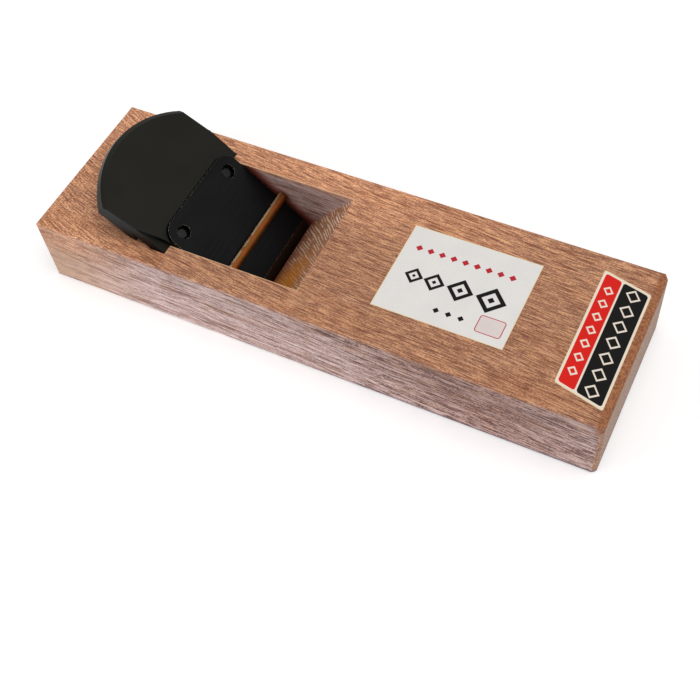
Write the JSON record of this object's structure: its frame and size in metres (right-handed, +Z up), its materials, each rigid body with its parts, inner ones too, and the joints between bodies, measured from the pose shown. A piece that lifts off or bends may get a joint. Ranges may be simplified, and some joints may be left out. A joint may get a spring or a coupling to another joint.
{
  "type": "japanese pull plane",
  "caption": "Wooden pull plane with a sloping bed and throat, a black blade holder with a round head, a thin blade, a chip breaker and a cross rod.",
  "frame": {"origin": "middle of the sole", "axes": "+X is the way the plane is pulled, +Y is to the left of the pull, +Z is up from the sole"},
  "size_m": [0.27, 0.082, 0.0608],
  "materials": {
    "oak_body": "planed close-grained oak, oiled",
    "brass_rod": "drawn rod, lightly tarnished",
    "face_paper": "matt pale label",
    "end_paper": "satin label in red and black with a pale border",
    "black_enamel": "baked satin black enamel",
    "blued_steel": "satin blue-black oxide",
    "ground_steel": "ground"
  },
  "bodies": {
    "body": {"dai_block": "oak_body", "retaining_rod": "brass_rod", "face_label": "face_paper", "end_label": "end_paper"},
    "blade_set": {"blade_holder": "black_enamel", "locating_pin_near": "blued_steel", "locating_pin_far": "blued_steel", "replaceable_blade": "ground_steel", "chip_breaker": "blued_steel"}
  },
  "joints": [
    {"name": "blade_slide", "type": "slide", "parent": "body", "child": "blade_set", "axis": [-0.7547, 0, 0.6561], "range_m": [-0.0006, 0.05]}
  ]
}
